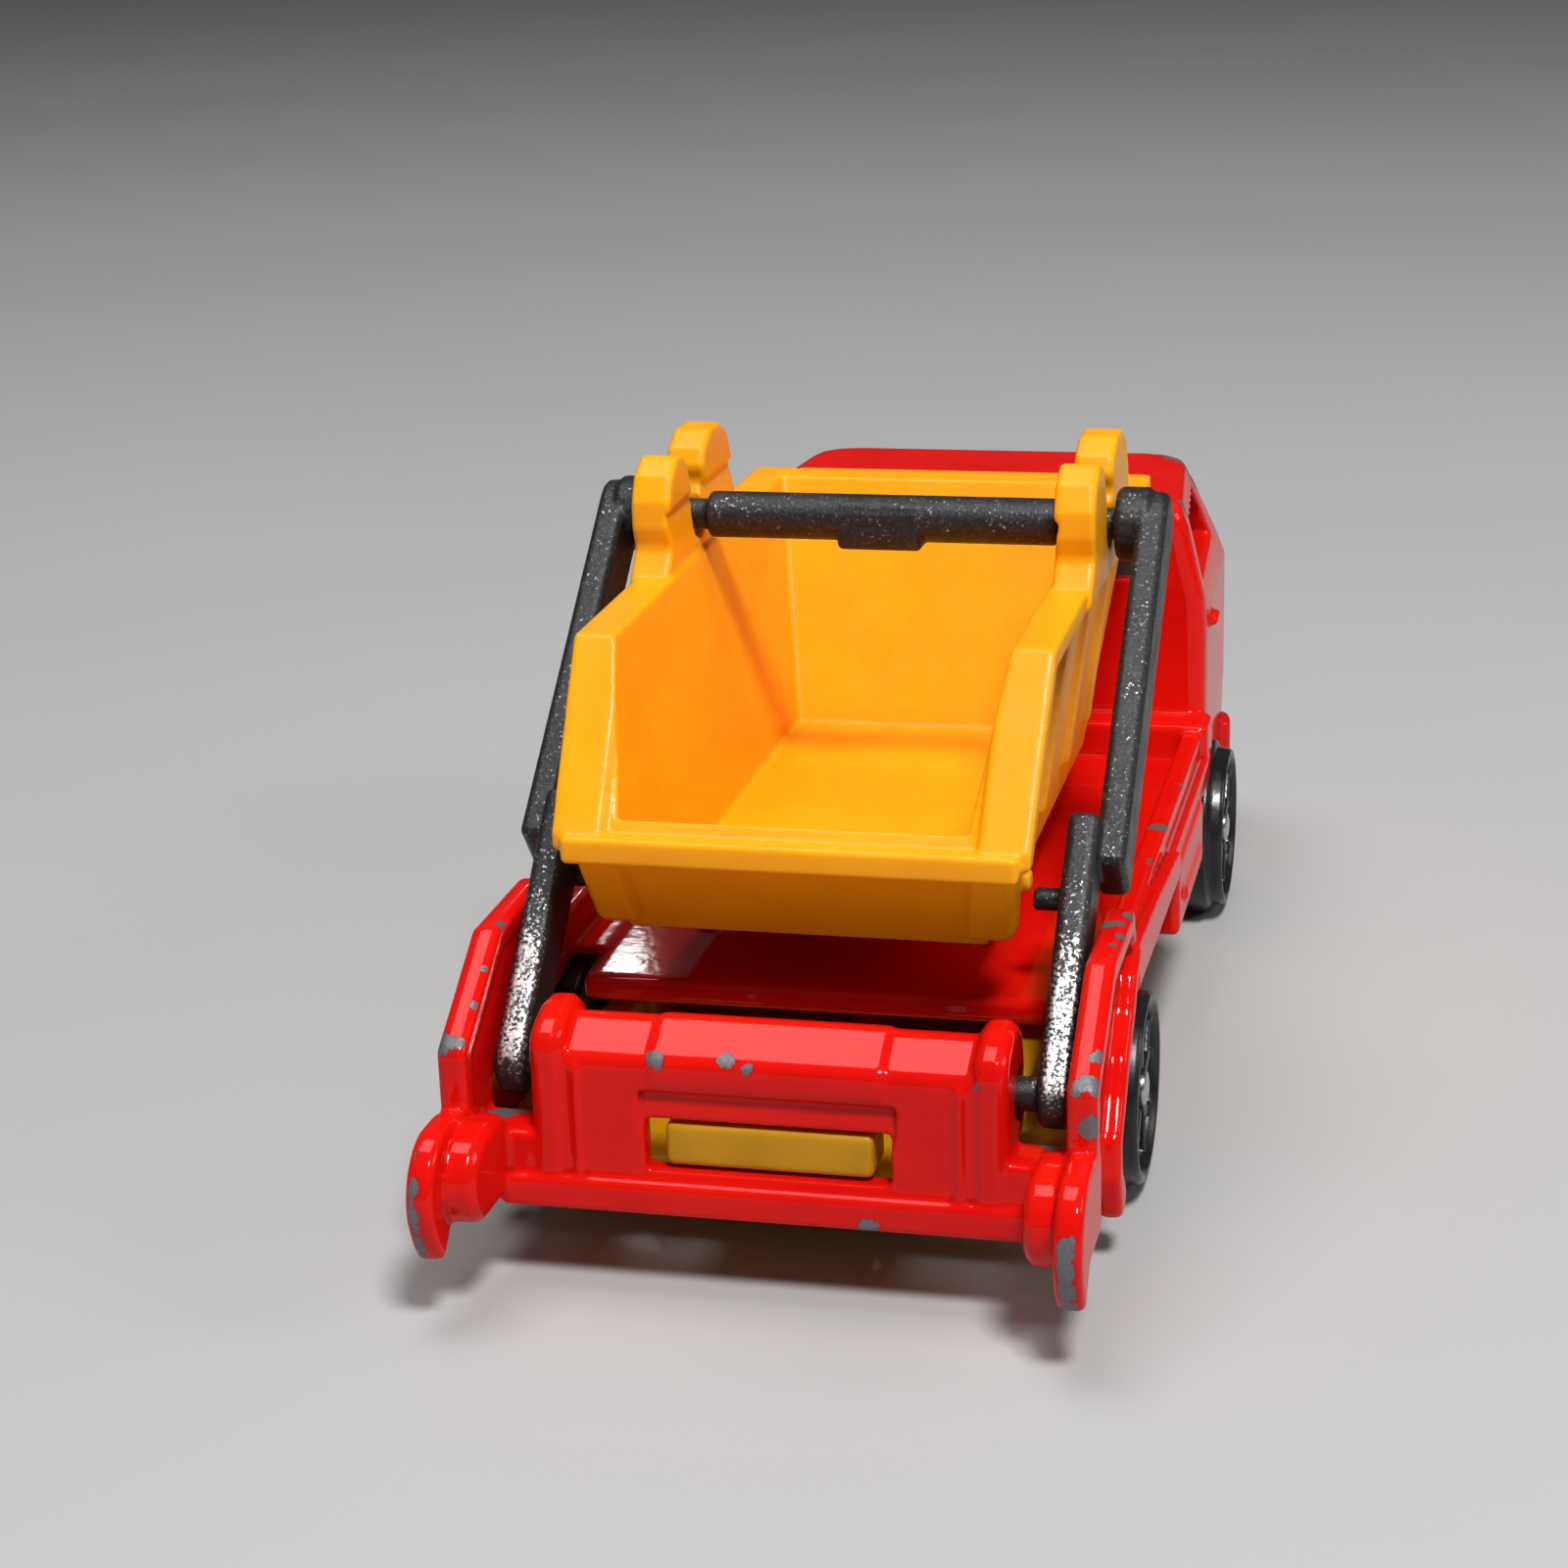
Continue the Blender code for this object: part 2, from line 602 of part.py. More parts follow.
def wheel_solids(axle):
    """A one-piece wheel: stepped tyre, raised ring, hub and five Y spokes."""
    tread = WHEEL_R / math.cos(math.pi / 30)  # the lowest flat rests on the ground
    profile = [(10.6, 0.65), (10.6, 1.7), (11.5, 1.9), (11.5, 3.4), (10.75, 3.7), (10.75, 4.35),
               (10.9, tread), (12.6, tread), (12.85, 4.12), (13.3, 4.05),
               (WHEEL_OUTER_X, 3.9), (WHEEL_OUTER_X, 3.65), (12.6, 3.4), (12.6, 1.35),
               (12.9, 1.25), (12.9, 0.65)]
    solids = [turned(profile, axle, 30)]
    for spoke in range(5):
        turn = 90.0 + 72.0 * spoke
        solids.append(spoke_bar(axle, (1.05, turn), (2.3, turn), 0.3, 13.2))
        for lean in (-1, 1):
            solids.append(spoke_bar(axle, (2.1, turn + lean * 2.5), (3.52, turn + lean * 17.0),
                                    0.24, 13.15))
    return solids


def spoke_bar(axle, inner, outer, half, top):
    """A straight rib on the wheel's face between two (radius, angle) points."""
    ends = []
    for radius, angle in (inner, outer):
        a = math.radians(angle)
        ends.append((axle[0] + radius * math.cos(a), axle[1] + radius * math.sin(a)))
    (y0, z0), (y1, z1) = ends
    length = math.hypot(y1 - y0, z1 - z0)
    ny, nz = -(z1 - z0) / length * half, (y1 - y0) / length * half
    outline = [(y0 - ny, z0 - nz), (y1 - ny, z1 - nz), (y1 + ny, z1 + nz), (y0 + ny, z0 + nz)]
    return plate(outline, 12.4, top)


def make_wheel(name, axle, side, mat):
    """One wheel on its own spin axis."""
    solids = wheel_solids(axle)
    if side < 0:
        solids = [mirrored(bm) for bm in solids]
    return node(name, solids, [], mat, axle)


def make_axle(name, axle, mat):
    """A steel axle with a small head at each end."""
    cy, cz = world(axle)
    loops = []
    stations = [(-13.45, 0.45), (-13.3, 0.75), (-13.1, 0.75), (-13.1, AXLE_R), (13.1, AXLE_R),
                (13.1, 0.75), (13.3, 0.75), (13.45, 0.45)]
    for x, radius in stations:
        angles = [2 * math.pi * i / 20 for i in range(20)]
        loops.append([(x, cy + radius * math.cos(a), cz + radius * math.sin(a)) for a in angles])
    return node(name, [loft(loops)], [], mat)


def main():
    """Build the truck."""
    for old in list(bpy.data.objects):
        bpy.data.objects.remove(old)
    red = material("red_enamel", (0.72, 0.012, 0.006), 0.18, 0.0)
    mustard = material("mustard_plastic", (0.52, 0.30, 0.004), 0.42, 0.0)
    yellow = material("yellow_plastic", (1.0, 0.38, 0.004), 0.36, 0.0)
    gunmetal = material("gunmetal", (0.07, 0.07, 0.075), 0.38, 0.85)
    black = material("black_plastic", (0.012, 0.012, 0.013), 0.45, 0.0)
    steel = material("steel", (0.62, 0.62, 0.64), 0.25, 1.0)
    glass = material("clear_plastic", (0.55, 0.6, 0.62), 0.08, 0.0)
    cream = material("cab_plastic", (0.03, 0.03, 0.032), 0.5, 0.0)

    make_body(red)
    make_base(mustard)
    make_glazing(glass)
    make_interior(cream)
    frame = make_frame(gunmetal)
    make_skip(yellow, frame)
    for end, axle in (("front", FRONT_AXLE), ("rear", REAR_AXLE)):
        make_axle(end + "_axle", axle, steel)
        for side_name, side in (("left", -1), ("right", 1)):
            make_wheel("wheel_" + end + "_" + side_name, axle, side, black)


main()
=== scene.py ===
"""Looks of the toy skip-loader truck: enamelled casting, moulded plastic, worn dark metal, black wheels.

Numbers are in millimetres and become metres when a piece is made. Side positions are (forward, up)
from the datum, the upper rear corner of the body's cheeks, which the frame's pivot fixes.
"""

import json
import math

import bmesh
import bpy
import numpy as np
from mathutils import Matrix, Vector


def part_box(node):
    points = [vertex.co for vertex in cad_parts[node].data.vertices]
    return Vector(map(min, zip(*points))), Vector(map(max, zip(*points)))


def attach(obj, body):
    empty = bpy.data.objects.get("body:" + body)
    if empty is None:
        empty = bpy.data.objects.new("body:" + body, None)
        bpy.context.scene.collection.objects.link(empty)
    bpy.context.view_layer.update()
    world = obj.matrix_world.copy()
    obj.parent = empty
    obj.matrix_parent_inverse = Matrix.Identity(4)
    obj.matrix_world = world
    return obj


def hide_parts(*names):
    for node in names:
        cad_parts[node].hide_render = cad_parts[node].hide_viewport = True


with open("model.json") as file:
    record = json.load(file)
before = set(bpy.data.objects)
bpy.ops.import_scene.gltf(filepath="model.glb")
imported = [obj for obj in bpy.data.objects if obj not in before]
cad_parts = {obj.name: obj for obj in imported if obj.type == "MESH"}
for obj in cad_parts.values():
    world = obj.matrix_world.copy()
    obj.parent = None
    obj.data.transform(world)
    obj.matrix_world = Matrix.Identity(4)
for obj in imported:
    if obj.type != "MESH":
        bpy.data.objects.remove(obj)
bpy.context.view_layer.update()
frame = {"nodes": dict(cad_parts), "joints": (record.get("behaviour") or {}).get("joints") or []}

MM = 0.001
JOINTS = {joint["name"]: joint for joint in frame["joints"]}
PIVOT = Vector(JOINTS["frame_swing"]["pos_m"]) / MM
PIVOT_FROM_DATUM = Vector((0.0, 3.8, -1.85))
DATUM = PIVOT - PIVOT_FROM_DATUM
WHEEL_R = (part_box("wheel_rear_right")[1].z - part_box("wheel_rear_right")[0].z) / MM / 2

# Each wheel has forked spokes; each axle has a domed head outside either wheel
SPOKES = 5
AXLE_R = 0.49
HEAD_R = 0.76
HEAD_START = 13.25
HEAD_END = 13.45

# The camera stands behind the truck, above it and a little to its right
CAMERA_PLACE = (0.0282, -0.13965, 0.0589)
CAMERA_RIGHT = (0.97331, 0.22753, -0.02990)
CAMERA_UP = (-0.04304, 0.30897, 0.95010)
CAMERA_LENS = 73.1

# Colours, linear: enamel and the zinc under it
RED = (0.74, 0.007, 0.003)
RED_SHADE = (0.666, 0.0042, 0.003)
# RED_DEEP paints shade into grooves and also darkens the rims of paint chips
RED_DEEP = (0.30, 0.001, 0.001)
ZINC = (0.23, 0.22, 0.235)
ZINC_DARK = (0.138, 0.132, 0.1457)
# Moulded plastics
YELLOW = (0.97, 0.40, 0.002)
YELLOW_DEEP = (0.90, 0.27, 0.001)
MUSTARD = (0.56, 0.27, 0.004)
MUSTARD_DEEP = (0.36, 0.14, 0.002)
CAB_GREY = (0.02, 0.02, 0.022)
CAB_GREY_DEEP = (0.008, 0.008, 0.01)
SPECK = (0.05, 0.03, 0.01)
GLAZING = (0.55, 0.60, 0.62)
GLAZING_DEEP = (0.44, 0.48, 0.50)
# Lifting frame
DARK_METAL = (0.028, 0.028, 0.031)
DARK_METAL_GREY = (0.055, 0.055, 0.058)
# BRIGHT_METAL shows rubbed metal and also paints a highlight on faces turned toward the key lamp
BRIGHT_METAL = (0.66, 0.64, 0.62)
# Wheels and axles
BLACK = (0.008, 0.008, 0.009)
# grey painted on the wheels' rim edges as a highlight
RIM_HIGHLIGHT_GREY = (0.16, 0.16, 0.165)
DUST = (0.09, 0.08, 0.07)
STEEL = (0.62, 0.61, 0.60)
STEEL_DULL = (0.42, 0.41, 0.40)
# Floor
FLOOR = (0.47, 0.47, 0.465)
FLOOR_SHADE = (0.44, 0.44, 0.438)

# Only the rims of the stabiliser feet, behind this line, are chipped
FOOT_END = -1.5
PAINT_THICKNESS = 0.05

# Paint chips as (across, forward, up, radius), from the datum
BODY_CHIPS = [
    # left cheek, ledge and foot
    (-12.9, 0.5, 0.1, 0.62), (-12.0, 5.9, 3.4, 0.36), (-11.3, 2.5, -3.6, 0.55),
    (-10.6, 2.8, -3.6, 0.35), (-13.3, -3.4, -3.0, 0.5), (-13.25, -4.3, -4.1, 0.72),
    (-13.25, -4.4, -5.2, 0.8), (-13.3, -4.1, -6.3, 0.75), (-13.2, -3.5, -7.2, 0.6),
    (-12.2, 0.4, 0.3, 0.3),
    (-12.1, 2.0, 1.3, 0.22), (-12.1, 3.5, 2.2, 0.18),
    # beam
    (-4.4, 0.9, -0.1, 0.46), (-1.5, 0.95, 0.05, 0.42), (-0.65, 0.85, -0.3, 0.26),
    (4.46, 1.0, 0.3, 0.16), (8.3, 0.7, -0.43, 0.26), (4.1, 0.5, -6.5, 0.5),
    # right cheek, ledge and foot
    (12.4, 0.1, 0.3, 0.5), (12.85, 0.3, 0.3, 0.5), (12.3, 0.6, 0.95, 0.32), (12.9, 0.0, -1.4, 0.55),
    (13.0, 1.4, 1.05, 0.4), (12.3, 9.4, 3.3, 0.4), (12.7, 9.5, 3.3, 0.35), (12.95, 8.3, 3.3, 0.34),
    (12.8, 7.2, 3.3, 0.22), (12.0, 6.0, 3.2, 0.24), (12.95, 10.7, 3.3, 0.36),
    (10.9, 2.9, -3.6, 0.42), (12.5, -4.4, -4.4, 0.55), (12.5, -4.4, -5.2, 0.62),
    (12.5, -4.1, -6.1, 0.62), (12.5, -3.7, -7.0, 0.62), (10.9, -3.0, -5.3, 0.24),
    # rails
    (12.1, 28.2, 1.0, 0.5), (11.7, 28.3, 1.0, 0.35), (12.4, 34.6, 1.0, 0.3), (12.3, 23.5, 1.0, 0.25),
    (-12.4, 20.5, 1.0, 0.4), (-12.0, 33.0, 1.0, 0.3), (-12.45, 39.0, 1.0, 0.4),
    # cab
    (10.4, 57.0, 11.6, 1.5), (-10.6, 56.6, 11.6, 0.9), (11.2, 47.0, 11.6, 0.6),
    (-11.2, 46.2, 11.5, 0.7), (12.2, 62.2, 5.9, 0.7), (-11.8, 62.6, 6.0, 0.9),
    (11.9, 64.0, -4.4, 1.0), (-11.8, 64.1, -4.6, 1.2), (-3.0, 64.3, -4.3, 0.5),
    (5.5, 64.3, -6.4, 0.6), (12.4, 54.0, 7.3, 0.3), (0.0, 58.6, 11.4, 0.35),
]


# ---------------------------------------------------------------- meshes


def evaluated(obj, name):
    """The object's mesh with its modifiers applied."""
    bpy.context.view_layer.update()
    graph = bpy.context.evaluated_depsgraph_get()
    mesh = bpy.data.meshes.new_from_object(obj.evaluated_get(graph))
    mesh.name = name
    return mesh


def fused(name, mesh, voxel, smoothing, share=1.0):
    """One rounded skin round a mesh in millimetres, as casting and moulding leave it."""
    obj = bpy.data.objects.new(name, mesh)
    bpy.context.scene.collection.objects.link(obj)
    skin = obj.modifiers.new("skin", "REMESH")
    skin.mode = "VOXEL"
    skin.voxel_size = voxel
    soft = obj.modifiers.new("soft", "SMOOTH")
    soft.factor = 0.5
    soft.iterations = smoothing
    if share < 1.0:
        thin = obj.modifiers.new("thin", "DECIMATE")
        thin.ratio = share
    made = evaluated(obj, name)
    made.transform(Matrix.Scale(MM, 4))
    made.shade_smooth()
    obj.modifiers.clear()
    obj.data = made
    return obj


def rounded_copy(name, node, voxel, smoothing, share=1.0):
    """A CAD node's shape with its edges rounded."""
    mesh = frame["nodes"][node].data.copy()
    mesh.materials.clear()
    mesh.transform(Matrix.Scale(1.0 / MM, 4))
    return fused(name, mesh, voxel, smoothing, share)


def points_of(mesh):
    """Every point of a mesh in millimetres from the datum, and its normal."""
    count = len(mesh.vertices)
    points = np.empty(count * 3)
    mesh.vertices.foreach_get("co", points)
    normals = np.empty(count * 3)
    mesh.vertex_normals.foreach_get("vector", normals)
    return points.reshape(-1, 3) / MM - np.array(DATUM), normals.reshape(-1, 3)


def neighbour_mean(mesh, values):
    """The mean of each point's neighbours' values."""
    edges = np.empty(len(mesh.edges) * 2, dtype=np.int64)
    mesh.edges.foreach_get("vertices", edges)
    one, two = edges.reshape(-1, 2).T
    count = len(mesh.vertices)
    degree = np.bincount(one, minlength=count) + np.bincount(two, minlength=count)
    total = np.zeros((count, values.shape[1]))
    for column in range(values.shape[1]):
        line = values[:, column]
        total[:, column] = (np.bincount(one, weights=line[two], minlength=count)
                            + np.bincount(two, weights=line[one], minlength=count))
    return total / np.maximum(degree, 1)[:, None]


def edge_measure(mesh, spread):
    """How far each point stands out from its surroundings, in millimetres: above 0 on an edge."""
    points, normals = points_of(mesh)
    mean = points
    for _ in range(spread):
        mean = neighbour_mean(mesh, mean)
    return ((points - mean) * normals).sum(axis=1)


def store(mesh, name, values):
    """Keep one number for each point of the mesh for the material to read."""
    layer = mesh.attributes.new(name, "FLOAT", "POINT")
    layer.data.foreach_set("value", values.astype(np.float32))


def chip_field(mesh, chips):
    """1 in the middle of a chip, 0.5 at its radius, falling to 0 outside."""
    points, normals = points_of(mesh)
    field = np.zeros(len(points))
    for across, forward, up, radius in chips:
        away = np.linalg.norm(points - np.array((across, forward, up)), axis=1)
        field = np.maximum(field, 1.0 - 0.5 * away / radius)
    on_foot = points[:, 1] < FOOT_END
    side_on = np.clip(1.6 - 2.2 * np.abs(normals[:, 0]), 0.0, 1.0)
    return np.where(on_foot, field * side_on, field)


def lathe(profile, steps):
    """A closed (across, radius) loop turned about the X axis."""
    bm = bmesh.new()
    rings = []
    for x, radius in profile:
        turns = [2.0 * math.pi * i / steps for i in range(steps)]
        rings.append([bm.verts.new((x, radius * math.cos(a), radius * math.sin(a))) for a in turns])
    for low, high in zip(rings, rings[1:] + rings[:1]):
        for i in range(steps):
            j = (i + 1) % steps
            bm.faces.new((low[i], low[j], high[j], high[i]))
    bmesh.ops.recalc_face_normals(bm, faces=bm.faces)
    return bm


def spoke(bm, inner, outer, half, low, high):
    """A straight rib between two (radius, degrees) points on the wheel's face."""
    ends = []
    for radius, angle in (inner, outer):
        a = math.radians(angle)
        ends.append(Vector((0.0, radius * math.cos(a), radius * math.sin(a))))
    along = (ends[1] - ends[0]).normalized()
    side = Vector((0.0, -along.z, along.y)) * half
    base = [ends[0] - side, ends[1] - side, ends[1] + side, ends[0] + side]
    bottom = [bm.verts.new(p + Vector((low, 0.0, 0.0))) for p in base]
    crest = [bm.verts.new(p + Vector((high, 0.0, 0.0))) for p in base]
    faces = [bm.faces.new(bottom), bm.faces.new(crest)]
    for i in range(4):
        j = (i + 1) % 4
        faces.append(bm.faces.new((bottom[i], bottom[j], crest[j], crest[i])))
    bmesh.ops.recalc_face_normals(bm, faces=faces)


# ---------------------------------------------------------------- node materials

# A Mix node has sockets of the same name for each kind of data; these are the colour ones
MIX_COLOUR_INPUTS = (6, 7)
MIX_COLOUR_OUTPUT = 2


class Recipe:
    """A Principled material with short names for the nodes it is made from."""

    def __init__(self, name, **fixed):
        self.material = bpy.data.materials.new(name)
        self.material.use_nodes = True
        self.tree = self.material.node_tree
        self.shader = self.tree.nodes["Principled BSDF"]
        self.place = self.tree.nodes.new("ShaderNodeTexCoord").outputs["Object"]
        for socket, value in fixed.items():
            self.shader.inputs[socket.replace("_", " ")].default_value = value

    def put(self, socket, value):
        """Give a socket a number, a colour or another node's output."""
        if isinstance(value, bpy.types.NodeSocket):
            self.tree.links.new(value, socket)
        elif isinstance(value, tuple) and len(value) == 3 and socket.type == "RGBA":
            socket.default_value = (*value, 1.0)
        else:
            socket.default_value = value

    def set(self, name, value):
        """Give one of the shader's own sockets a value."""
        self.put(self.shader.inputs[name], value)

    def noise(self, size, detail=2.0, roughness=0.5, where=None):
        """Soft random variation with features of a size in millimetres, 0 to 1."""
        node = self.tree.nodes.new("ShaderNodeTexNoise")
        node.inputs["Scale"].default_value = 1.0 / (size * MM)
        node.inputs["Detail"].default_value = detail
        node.inputs["Roughness"].default_value = roughness
        self.put(node.inputs["Vector"], where or self.place)
        return node.outputs["Fac"]

    def cells(self, size):
        """Distance to the nearest of many random points a size in millimetres apart."""
        node = self.tree.nodes.new("ShaderNodeTexVoronoi")
        node.feature = "F1"
        node.inputs["Scale"].default_value = 1.0 / (size * MM)
        self.put(node.inputs["Vector"], self.place)
        return node.outputs["Distance"]

    def stretched(self, scale):
        """Object coordinates stretched along the axes."""
        node = self.tree.nodes.new("ShaderNodeMapping")
        node.inputs["Scale"].default_value = scale
        self.put(node.inputs["Vector"], self.place)
        return node.outputs["Vector"]

    def stored(self, name):
        """A number kept on the mesh's points."""
        node = self.tree.nodes.new("ShaderNodeAttribute")
        node.attribute_name = name
        return node.outputs["Fac"]

    def math(self, operation, one, two=0.0, three=0.0):
        """One arithmetic step."""
        node = self.tree.nodes.new("ShaderNodeMath")
        node.operation = operation
        for socket, value in zip(node.inputs, (one, two, three)):
            self.put(socket, value)
        return node.outputs["Value"]

    def ramp(self, value, low, high, start=0.0, end=1.0):
        """A value between low and high carried to start and end, and held there."""
        node = self.tree.nodes.new("ShaderNodeMapRange")
        node.interpolation_type = "SMOOTHSTEP"
        limits = {"From Min": low, "From Max": high, "To Min": start, "To Max": end}
        for name, number in limits.items():
            node.inputs[name].default_value = number
        self.put(node.inputs["Value"], value)
        return node.outputs["Result"]

    def mix(self, share, one, two):
        """A colour between two others."""
        node = self.tree.nodes.new("ShaderNodeMix")
        node.data_type = "RGBA"
        self.put(node.inputs["Factor"], share)
        for number, value in zip(MIX_COLOUR_INPUTS, (one, two)):
            self.put(node.inputs[number], value)
        return node.outputs[MIX_COLOUR_OUTPUT]

    def bump(self, height, depth, normal=None):
        """Relief whose full height is a depth in millimetres."""
        node = self.tree.nodes.new("ShaderNodeBump")
        node.inputs["Distance"].default_value = depth * MM
        self.put(node.inputs["Height"], height)
        if normal is not None:
            self.put(node.inputs["Normal"], normal)
        return node.outputs["Normal"]


def red_enamel():
    """Thick glossy red enamel on zinc, chipped on corners, with painted shade in its grooves."""
    m = Recipe("red_enamel_look", Roughness=0.3, IOR=1.5, Specular_IOR_Level=0.0)
    ragged = m.noise(0.42, 4.0, 0.62)
    fine = m.noise(0.13, 2.0)
    spots = m.math("MULTIPLY_ADD", m.math("SUBTRACT", ragged, 0.5), 0.95, m.stored("chip"))
    corners = m.ramp(m.stored("edge"), 0.018, 0.05)
    rubbed = m.math("MULTIPLY", corners, m.ramp(m.noise(2.6, 3.0), 0.6, 0.74))
    scuffs = m.math("MULTIPLY_ADD", m.math("SUBTRACT", fine, 0.5), 0.6, rubbed)
    bare = m.math("MAXIMUM", m.ramp(spots, 0.53, 0.56), m.ramp(scuffs, 0.56, 0.66))
    halo = m.math("SUBTRACT", m.ramp(spots, 0.44, 0.53), bare)
    tone = m.mix(m.ramp(m.noise(5.0, 3.0), 0.35, 0.75), RED, RED_SHADE)
    # painted shade: the enamel is darkened towards the deep red in grooves and recesses
    painted_groove_shade = m.ramp(m.stored("edge"), -0.035, -0.008, 1.0, 0.0)
    paint = m.mix(m.math("MULTIPLY", painted_groove_shade, 0.75), tone, RED_DEEP)
    paint = m.mix(m.math("MULTIPLY", halo, 0.35), paint, RED_DEEP)
    metal = m.mix(fine, ZINC, ZINC_DARK)
    m.set("Base Color", m.mix(bare, paint, metal))
    m.set("Metallic", m.math("MULTIPLY", bare, 0.55))
    gloss = m.ramp(m.noise(1.8, 3.0), 0.3, 0.8, 0.22, 0.38)
    m.set("Roughness", m.math("MULTIPLY_ADD", bare, 0.22, gloss))
    m.set("Coat Weight", m.math("MULTIPLY", m.math("SUBTRACT", 1.0, bare), 0.7))
    m.set("Coat Roughness", 0.06)
    m.set("Coat IOR", 1.36)
    skin = m.bump(m.noise(0.85, 1.0), 0.006)
    pitting = m.math("MULTIPLY", fine, m.math("MULTIPLY", bare, 0.5))
    m.set("Normal", m.bump(m.math("MULTIPLY_ADD", bare, -1.0, pitting), PAINT_THICKNESS, skin))
    m.put(m.shader.inputs["Coat Normal"], m.bump(m.noise(0.7, 2.0), 0.004))
    return m.material


def moulded_plastic(name, colour, deep, roughness, glow=0.0):
    """Smooth moulded plastic with faint flow marks, small specks, light scuffs and painted shade in its
    grooves.
    """
    m = Recipe(name, IOR=1.49, Specular_IOR_Level=0.3)
    flow = m.noise(3.0, 3.0, 0.55, m.stretched((1.0, 0.45, 1.0)))
    speck = m.ramp(m.cells(2.4), 0.02, 0.045, 1.0, 0.0)
    kept = m.ramp(m.noise(6.0, 2.0), 0.68, 0.74)
    tone = m.mix(m.ramp(flow, 0.35, 0.75, 0.0, 0.35), colour, deep)
    # painted shade: grooves and recesses are darkened towards the deep colour
    painted_groove_shade = m.ramp(m.stored("edge"), -0.05, -0.01, 0.4, 0.0)
    tone = m.mix(painted_groove_shade, tone, deep)
    flecks = m.math("MULTIPLY", speck, m.math("MULTIPLY", kept, 0.4))
    m.set("Base Color", m.mix(flecks, tone, SPECK))
    m.set("Roughness", m.ramp(m.noise(1.4, 4.0, 0.6), 0.3, 0.75, roughness, roughness + 0.14))
    m.set("Subsurface Weight", glow)
    m.set("Subsurface Radius", (1.0, 0.45, 0.08))
    m.set("Subsurface Scale", 0.0009)
    m.set("Normal", m.bump(m.noise(2.5, 1.0), 0.01, m.bump(m.noise(0.25, 2.0), 0.0015)))
    return m.material


def worn_metal_painted_highlight():
    """Dark plated casting, speckled bright where handling has rubbed it and where a highlight is painted
    on faces turned up and back.
    """
    m = Recipe("worn_gunmetal_painted_highlight_look", IOR=1.5)
    grain = m.noise(0.16, 4.0, 0.7)
    broad = m.noise(1.1, 3.0, 0.6)
    wear_and_painted_highlight = m.stored("wear_and_painted_highlight")
    corners = m.math("MULTIPLY", m.ramp(m.stored("edge"), 0.01, 0.06), 0.42)
    # rubbed adds real wear on corners to the stored mark, which also carries a painted highlight
    rubbed = m.math("ADD", wear_and_painted_highlight, corners)
    value = m.math("MULTIPLY_ADD", m.math("SUBTRACT", grain, 0.5), 2.6, rubbed)
    value = m.math("MULTIPLY_ADD", m.math("SUBTRACT", broad, 0.5), 0.7, value)
    bright = m.ramp(value, 0.42, 0.62)
    tone = m.mix(m.ramp(grain, 0.4, 0.7), DARK_METAL, DARK_METAL_GREY)
    m.set("Base Color", m.mix(bright, tone, BRIGHT_METAL))
    m.set("Metallic", m.math("MULTIPLY_ADD", bright, 0.35, 0.6))
    dull = m.ramp(broad, 0.3, 0.7, 0.36, 0.5)
    m.set("Roughness", m.math("MULTIPLY_ADD", bright, -0.12, dull))
    m.set("Normal", m.bump(grain, 0.03, m.bump(m.noise(0.55, 2.0), 0.03)))
    return m.material


def wheel_black():
    """Black plastic whose rims are rubbed rougher and painted grey as a highlight, with dust in its
    hollows.
    """
    m = Recipe("wheel_black_look", IOR=1.5)
    fine = m.noise(0.2, 4.0, 0.65)
    ragged_edge = m.math("MULTIPLY_ADD", m.math("SUBTRACT", fine, 0.5), 0.05, m.stored("edge"))
    rubbed_and_highlit_edge = m.ramp(ragged_edge, 0.02, 0.07)
    hollow = m.ramp(m.stored("edge"), -0.05, -0.005, 1.0, 0.0)
    dust = m.math("MULTIPLY", hollow, m.ramp(m.noise(0.8, 3.0), 0.4, 0.7))
    # painted highlight: the raised rim edges are greyed
    tone = m.mix(m.math("MULTIPLY", rubbed_and_highlit_edge, 0.45), BLACK, RIM_HIGHLIGHT_GREY)
    m.set("Base Color", m.mix(m.math("MULTIPLY", dust, 0.35), tone, DUST))
    gloss = m.ramp(m.noise(0.9, 3.0), 0.3, 0.7, 0.2, 0.38)
    m.set("Roughness", m.math("MULTIPLY_ADD", rubbed_and_highlit_edge, 0.2, gloss))
    m.set("Normal", m.bump(fine, 0.006))
    return m.material


def bright_steel():
    """Bright drawn steel with turning marks."""
    m = Recipe("axle_steel_look", Metallic=1.0)
    rings = m.noise(0.1, 3.0, 0.6, m.stretched((4.0, 1.0, 1.0)))
    m.set("Base Color", m.mix(rings, STEEL, STEEL_DULL))
    m.set("Roughness", m.ramp(rings, 0.3, 0.7, 0.18, 0.34))
    m.set("Normal", m.bump(rings, 0.004))
    return m.material


def smoked_glazing():
    """Clear plastic with a faint smoky tint and fine scratches."""
    m = Recipe("smoked_glazing_look", IOR=1.49)
    haze = m.noise(2.2, 3.0)
    m.set("Base Color", m.mix(haze, GLAZING, GLAZING_DEEP))
    m.set("Transmission Weight", 0.9)
    scratches = m.noise(0.6, 4.0, 0.7, m.stretched((1.0, 4.0, 0.6)))
    m.set("Roughness", m.ramp(scratches, 0.45, 0.8, 0.03, 0.2))
    m.set("Normal", m.bump(m.noise(1.6, 2.0), 0.004))
    return m.material


# ---------------------------------------------------------------- pieces


def finish_piece(obj, body, slot, look, *nodes):
    """Give a piece its material and its place in the frame."""
    obj.data.materials.append(look)
    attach(obj, body)
    if nodes:
        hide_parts(*nodes)
    return obj


